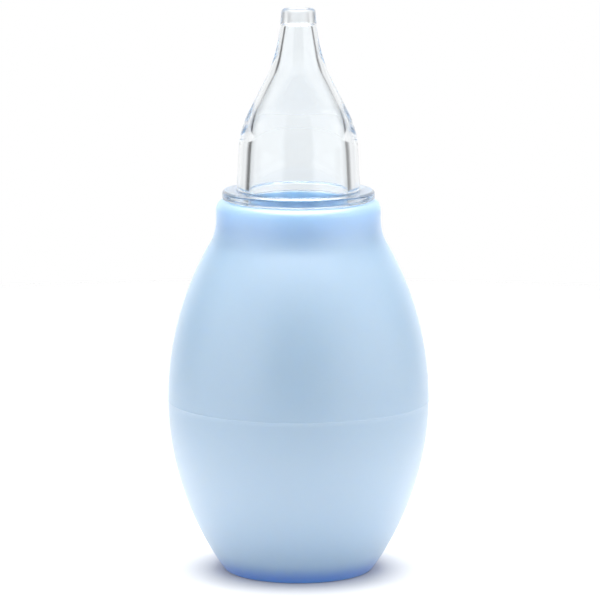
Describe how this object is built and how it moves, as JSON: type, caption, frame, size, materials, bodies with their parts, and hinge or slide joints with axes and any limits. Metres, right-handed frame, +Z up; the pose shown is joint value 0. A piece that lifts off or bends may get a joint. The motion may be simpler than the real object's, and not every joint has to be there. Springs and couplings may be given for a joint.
{
  "type": "nasal aspirator",
  "caption": "Baby nasal aspirator: soft egg-shaped squeeze bulb on a flat base, with a clear hollow bell-shaped nozzle that pushes into its neck.",
  "frame": {"origin": "centre of the bulb's base, on the surface that it stands on", "axes": "+Z up the common axis of bulb and nozzle, towards the tip; +X and +Y across it, all directions alike"},
  "size_m": [0.0508, 0.0508, 0.11],
  "materials": {
    "soft_blue_plastic": "soft satin, slightly translucent pale blue",
    "clear_plastic": "clear glossy rigid plastic"
  },
  "bodies": {
    "bulb": {"bulb": "soft_blue_plastic"},
    "nozzle": {"nozzle": "clear_plastic"}
  },
  "joints": [
    {"name": "nozzle_pull", "type": "slide", "parent": "bulb", "child": "nozzle", "axis": [0, 0, 1], "range_m": [0, 0.03]}
  ]
}
